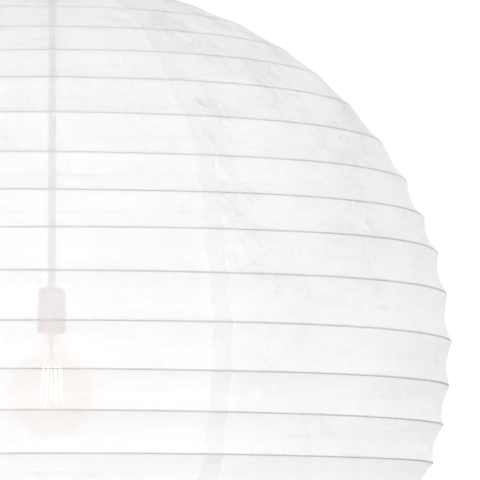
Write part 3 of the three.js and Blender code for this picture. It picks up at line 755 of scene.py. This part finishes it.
def make_hoops():
    """Split-cane hoops, each closed by a tapered splice where its two ends lie side by side."""
    for station, node in enumerate(HOOPS, 1):
        angle = np.linspace(0, 2 * math.pi, HOOP_STEPS + 1)[:-1]
        radius, height = hoop_line(station, angle)
        points = place(angle, radius, height)
        splice = wobble_phase[station, 0]
        away = np.abs((angle - splice + math.pi) % (2 * math.pi) - math.pi)
        joined = np.clip(2 - away * radius / SPLICE_LENGTH, 0, 1)
        uneven = field(np.sin(angle) * 14, np.cos(angle) * 14, station * 2.3)
        thick = CANE_RADIUS * (1 + 0.05 * uneven)
        vertices, faces = [], []
        for k in range(HOOP_STEPS):
            outwards = np.array([math.sin(angle[k]), -math.cos(angle[k]), 0])
            for s in range(CANE_SIDES):
                turn = 2 * math.pi * s / CANE_SIDES
                wide = thick[k] * math.cos(turn)
                tall = thick[k] * (1 + SPLICE_SWELL * joined[k]) * math.sin(turn)
                vertices.append(points[k] + wide * outwards + np.array([0, 0, tall]))
            here, there = k * CANE_SIDES, (k + 1) % HOOP_STEPS * CANE_SIDES
            for s in range(CANE_SIDES):
                n = (s + 1) % CANE_SIDES
                faces.append((here + s, there + s, there + n, here + n))
        name = f"cane_{node}"
        mesh = weld(mesh_from(name, vertices, faces))
        finished(name, mesh, "cane", node.replace("hoop", "rib"), [node])


def make_mouth_wires():
    for name, node, station, body in (("wire_top", "top_ring", 0, "shade"),
                                      ("wire_bottom", "bottom_ring", BAYS, "mouth")):
        profile = arc(station_radius[station], station_height[station], WIRE_RADIUS, 0, 345, 23)
        finished(name, turned(name, profile, 192), "wire", body, [node])


# ---------------------------------------------------------------- spider, stem and collars


def make_spider():
    """The hub is two pressings: a boss below the arms and a cap above them."""
    bore = radius_of("stem_tube") + 0.5 * MM
    outer = radius_of("spider_hub")
    low, high = low_of("spider_hub"), high_of("spider_hub")
    edge = 0.8 * MM
    boss = turned("spider_boss", [
        (bore, low), *arc(outer - edge, low + edge, edge, -90, 0, 3),
        *arc(outer - edge, low + 0.0025 - edge, edge, 0, 90, 3), (bore, low + 0.0025),
    ])
    finished("spider_boss", boss, "steel", "shade", ["spider_hub"])
    cap = turned("spider_cap", [
        (bore, high - 0.9 * MM), *arc(outer - edge, high - 0.9 * MM + edge, edge * 0.9, -90, 90, 5),
        (bore, high + 0.7 * MM),
    ])
    finished("spider_cap", cap, "steel", "shade")


STEM_BORE = 3.9 * MM
THREAD_RADIUS = 5 * MM
THREAD_TURNS = 16
THREAD_PITCH = 1.5 * MM
THREAD_DEPTH = 0.45 * MM
STEM_SHOULDER_Z = -50 * MM
STEM_SPIGOT = 13.3 * MM


def make_stem():
    """A tube with a thread cut at its top and a thinner end that goes into the holder."""
    top, low = high_of("stem_tube"), low_of("stem_tube")
    radius = radius_of("stem_tube")
    bore, threaded, edge = STEM_BORE, THREAD_RADIUS, 0.3 * MM
    profile = [(bore, top), (threaded - 0.4 * MM, top), (threaded, top - 0.4 * MM)]
    for k in range(THREAD_TURNS):
        z = top - 1.0 * MM - k * THREAD_PITCH
        profile += [(threaded, z), (threaded - THREAD_DEPTH, z - THREAD_PITCH / 2)]
    profile += [(threaded, STEM_SHOULDER_Z),
                *arc(radius - edge, STEM_SHOULDER_Z - edge, edge, 90, 0, 3)]
    profile += [(radius, low + STEM_SPIGOT + 0.1 * MM), (threaded, low + STEM_SPIGOT),
                (threaded, low), (bore, low)]
    finished("stem", turned("stem", profile, 48), "stem", "fixture", ["stem_tube"])


def make_collar(name, node, slot, body):
    """A turned collar with rounded edges and two grooves."""
    low, high, outer = low_of(node), high_of(node), radius_of(node)
    bore = radius_of("stem_tube") + 0.3 * MM
    edge = 1.2 * MM
    mid = (low + high) / 2
    floor = outer - 0.4 * MM
    profile = [
        (bore, low), *arc(outer - edge, low + edge, edge, -90, 0, 5),
        (outer, mid - 3.2 * MM), (floor, mid - 2.9 * MM), (floor, mid - 2.6 * MM),
        (outer, mid - 2.3 * MM), (outer, mid + 2.3 * MM),
        (floor, mid + 2.6 * MM), (floor, mid + 2.9 * MM), (outer, mid + 3.2 * MM),
        *arc(outer - edge, high - edge, edge, 0, 90, 5), (bore, high),
    ]
    finished(name, turned(name, profile, 64), slot, body, [node])


def make_canopy():
    """A spun cup with a round corner and a rolled rim, open at the top."""
    radius, low, high = radius_of("canopy_cup"), low_of("canopy_cup"), high_of("canopy_cup")
    corner, wall = 16 * MM, 1.2 * MM
    bore = radius_of("stem_tube") + 0.5 * MM
    centre = radius - corner
    profile = [
        (radius, high - 0.4 * MM), (radius, high - 6 * MM),
        *arc(centre, low + corner, corner, 0, -90, 14),
        (bore + 6 * MM, low), (bore, low), (bore, low + wall),
        *arc(centre, low + corner, corner - wall, -90, 0, 14),
        (radius - wall, high - 0.4 * MM), (radius - wall / 2, high),
    ]
    shell = turned("canopy_shell", profile, 128)
    finished("canopy_shell", shell, "canopy", "canopy", ["canopy_cup"])


# ---------------------------------------------------------------- lampholder and bulb


def make_holder():
    radius = radius_of("holder_cap")
    top, seam = high_of("holder_cap"), low_of("holder_cap")
    rim = low_of("holder_sleeve")
    corner, wall, bore = 8 * MM, 2 * MM, 5.3 * MM
    centre = radius - corner
    ridge = 0.5 * MM
    dome = [
        (bore, top + 0.2 * MM), (bore + 3.2 * MM, top + 0.2 * MM), (bore + 3.6 * MM, top),
        *arc(centre, top - corner, corner, 90, 0, 12),
        (radius, seam + ridge), (radius - ridge, seam), (radius - wall, seam),
        *arc(centre, top - corner, corner - wall, 0, 90, 8),
        (8.5 * MM, top - wall), (8.5 * MM, top - 14 * MM), (bore, top - 14 * MM),
    ]
    finished("holder_dome", turned("holder_dome", dome), "holder", "fixture", ["holder_cap"])
    high = high_of("holder_sleeve")
    skirt = [
        (radius - wall, high), (radius - ridge, high), (radius, high - ridge),
        (radius, rim + 1.2 * MM), *arc(radius - 1.0 * MM, rim + 1.0 * MM, 1.0 * MM, 0, -180, 8),
        (radius - wall, rim + 1.2 * MM),
    ]
    finished("holder_skirt", turned("holder_skirt", skirt), "holder", "fixture", ["holder_sleeve"])


GLASS_WALL = 0.9 * MM
GLOBE_ENDS_AT = 58
FILAMENT_BARS = 6
FILAMENT_RADIUS = 1.15 * MM
LEAD_RADIUS = 0.4 * MM
CAGE_TOP_RADIUS = 11 * MM
CAGE_LOW_RADIUS = 15 * MM


def bulb_outline(inset, steps):
    """The bulb's outline from its lowest point up to the end of its neck."""
    radius = radius_of("lamp_glass") - inset
    centre = low_of("lamp_glass") + radius_of("lamp_glass")
    top = high_of("lamp_glass")
    leave = math.radians(GLOBE_ENDS_AT)
    globe = arc(0, centre, radius, -90, GLOBE_ENDS_AT, steps)
    start = Vector(globe[-1])
    waist = 15 * MM - inset
    climb = (start.x - waist) / math.tan(leave)
    control = Vector((waist, start.y + climb))
    end = Vector((13.2 * MM - inset, top - 2 * MM))
    neck = []
    for k in range(1, 13):
        t = k / 12
        point = (1 - t) ** 2 * start + 2 * t * (1 - t) * control + t * t * end
        neck.append((point.x, point.y))
    return [(max(x, 0), z) for x, z in globe] + neck + [(13.2 * MM - inset, top)]


def make_bulb():
    glass = [*bulb_outline(0, 40), *reversed(bulb_outline(GLASS_WALL, 40))]
    finished("bulb_globe", turned("bulb_globe", glass, 96), "amber_glass", "bulb", ["lamp_glass"])
    top, low = high_of("lamp_foot"), low_of("lamp_foot")
    foot = [(0, top), (7 * MM, top), (7.5 * MM, top - 3 * MM), (5 * MM, top - 12 * MM),
            (3.4 * MM, top - 20 * MM), (3.4 * MM, low + 6 * MM), (4.4 * MM, low + 4 * MM),
            *arc(0, low + 3.4 * MM, 3.6 * MM, 0, -90, 6)]
    foot[-1] = (0, foot[-1][1])
    finished("bulb_foot", turned("bulb_foot", foot, 32), "clear_glass", "bulb", ["lamp_foot"])

    high, deep = high_of("lamp_filaments"), low_of("lamp_filaments")
    root = top - 4 * MM
    rod = turned("bulb_rod", [(0, root), (2.6 * MM, root), (2.4 * MM, root - 7 * MM),
                              (1.5 * MM, root - 12 * MM), (1.3 * MM, deep + 0.6 * MM),
                              (0.9 * MM, deep), (0, deep)], 16)
    finished("bulb_rod", rod, "brass", "bulb", ["lamp_filaments"])
    first, last = high - 8.7 * MM, deep + 2 * MM
    for k in range(FILAMENT_BARS):
        angle = k * 2 * math.pi / FILAMENT_BARS
        across = Vector((math.cos(angle), math.sin(angle), 0))
        upper = across * CAGE_TOP_RADIUS + Vector((0, 0, first))
        lower = across * CAGE_LOW_RADIUS + Vector((0, 0, last))
        span = lower - upper
        coated = [upper + span * t for t in (0.04, 0.06, 0.5, 0.94, 0.96)]
        name = f"bulb_filament_{k + 1}"
        finished(name, tube(name, coated, FILAMENT_RADIUS, 12), "filament", "bulb")
        wire = [Vector((0, 0, first + 3 * MM)), upper, upper + span * 0.05]
        name = f"bulb_lead_top_{k + 1}"
        finished(name, tube(name, wire, LEAD_RADIUS, 8), "steel", "bulb")
        wire = [Vector((0, 0, last)), lower, lower - span * 0.05]
        name = f"bulb_lead_low_{k + 1}"
        finished(name, tube(name, wire, LEAD_RADIUS, 8), "steel", "bulb")


# ---------------------------------------------------------------- carried-over nodes


def bevelled(piece, width):
    modifier = piece.modifiers.new("rounded edges", "BEVEL")
    modifier.width = width
    modifier.segments = 2
    modifier.limit_method = "ANGLE"
    modifier.angle_limit = math.radians(50)


CARRIED_OVER = [
    "spider_arm_1", "spider_arm_2", "spider_arm_3", "shade_collar_screw", "canopy_collar_screw",
    "holder_insulator", "holder_thread_shell", "holder_contact", "lamp_cap_shell",
    "lamp_cap_insulator", "lamp_tip_contact", "ceiling_plate", "stem_bridge", "lock_nut_upper",
    "lock_nut_lower", "terminal_block", "core_wire_brown", "core_wire_blue",
]
ROUNDED_EDGES = {
    "ceiling_plate": 0.5 * MM, "stem_bridge": 0.4 * MM, "terminal_block": 0.5 * MM,
    "lock_nut_upper": 0.4 * MM, "lock_nut_lower": 0.4 * MM, "spider_arm_1": 0.3 * MM,
    "spider_arm_2": 0.3 * MM, "spider_arm_3": 0.3 * MM,
}


def finish_cad_nodes():
    slots = {row["node"]: row["material_slot"] for row in frame["record"]["subparts"]}
    for name, node in NODES.items():
        node.data.materials.clear()
        node.data.materials.append(MATERIALS[slots[name]])
    for name in CARRIED_OVER:
        mesh = NODES[name].data
        mesh.polygons.foreach_set("use_smooth", [True] * len(mesh.polygons))
        mesh.set_sharp_from_angle(angle=SMOOTH_ANGLE)
    for name, width in ROUNDED_EDGES.items():
        bevelled(NODES[name], width)


# ---------------------------------------------------------------- floor and light

FLOOR_DROP = 2.4
FLOOR_HALF_SIZE = 160
BACKDROP_LIGHT = 1.05
STUDIO_LIGHT = 1.03
SOFTBOX_LIGHT = 2.4
STUDIO_TINT = (0.93, 0.955, 0.985)
SIDE_SHARE = 0.75
ZENITH_SHARE = 0.31
BULB_LIGHT = 4.5


def make_floor():
    half = FLOOR_HALF_SIZE
    corners = [(-half, -half, 0), (half, -half, 0), (half, half, 0), (-half, half, 0)]
    mesh = mesh_from("floor", corners, [(0, 1, 2, 3)])
    material, nodes = new_material("floor")
    surface = nodes.add("ShaderNodeBsdfDiffuse")
    cloud = nodes.noise(object_points(nodes), 1.2, 3)
    nodes.join(nodes.tinted(cloud, (0.70, 0.70, 0.70), (0.73, 0.73, 0.73)), surface.inputs["Color"])
    below = nodes.add("ShaderNodeMixShader")
    nodes.join(nodes.add("ShaderNodeNewGeometry").outputs["Backfacing"], below.inputs[0])
    nodes.join(surface.outputs["BSDF"], below.inputs[1])
    nodes.join(nodes.add("ShaderNodeBsdfTransparent").outputs["BSDF"], below.inputs[2])
    output = nodes.add("ShaderNodeOutputMaterial")
    nodes.join(below.outputs["Shader"], output.inputs["Surface"])
    mesh.materials.append(material)
    floor = bpy.data.objects.new("floor", mesh)
    bpy.context.scene.collection.objects.link(floor)
    floor.location.z = -FLOOR_DROP


def make_world():
    """A white studio: a soft light in front and one behind, and dimmer walls and ceiling."""
    world = bpy.data.worlds.new("studio")
    world.use_nodes = True
    bpy.context.scene.world = world
    nodes = Nodes(world.node_tree)
    way = nodes.add("ShaderNodeTexCoord").outputs["Generated"]
    split = nodes.add("ShaderNodeSeparateXYZ")
    nodes.join(way, split.inputs["Vector"])
    above = nodes.ranged(split.outputs["Z"], 0.0, 0.75, 1.0, ZENITH_SHARE)
    sideways = nodes.maths("ABSOLUTE", split.outputs["X"])
    beside = nodes.ranged(sideways, 0.2, 1.0, 1.0, SIDE_SHARE)
    soft = nodes.maths("MULTIPLY", nodes.maths("MULTIPLY", above, beside), STUDIO_LIGHT)
    facing = nodes.maths("POWER", nodes.maths("ABSOLUTE", split.outputs["Y"]), 4.0)
    soft = nodes.maths("ADD", soft, nodes.maths("MULTIPLY", facing, SOFTBOX_LIGHT))
    seen = nodes.add("ShaderNodeLightPath").outputs["Is Camera Ray"]
    ray = nodes.add("ShaderNodeMix", data_type="FLOAT")
    ray.inputs[3].default_value = BACKDROP_LIGHT
    nodes.join(seen, ray.inputs["Factor"])
    nodes.join(soft, ray.inputs[2])
    background = nodes.add("ShaderNodeBackground")
    nodes.join(nodes.tinted(seen, STUDIO_TINT, (1, 1, 1)), background.inputs["Color"])
    nodes.join(ray.outputs[0], background.inputs["Strength"])
    output = nodes.add("ShaderNodeOutputWorld")
    nodes.join(background.outputs["Background"], output.inputs["Surface"])
    bpy.context.scene.view_settings.view_transform = "Standard"
    bpy.context.scene.view_settings.look = "None"


def make_bulb_light():
    """The lit bulb's own soft light on the inside of the paper."""
    data = bpy.data.lights.new("bulb_light", "POINT")
    data.energy = BULB_LIGHT
    data.color = (1.0, 1.0, 1.0)
    data.shadow_soft_size = 0.05
    light = bpy.data.objects.new("bulb_light", data)
    light.visible_camera = False
    light.visible_glossy = False
    bpy.context.scene.collection.objects.link(light)
    light.location = (0, 0, low_of("lamp_glass") + radius_of("lamp_glass"))


# ---------------------------------------------------------------- everything

finish_cad_nodes()
make_paper()
make_hoops()
make_mouth_wires()
make_spider()
make_stem()
make_collar("canopy_grip", "canopy_collar", "canopy", "canopy")
make_collar("shade_stop", "shade_collar", "stem", "fixture")
make_canopy()
make_holder()
make_bulb()
make_floor()
make_world()
make_bulb_light()
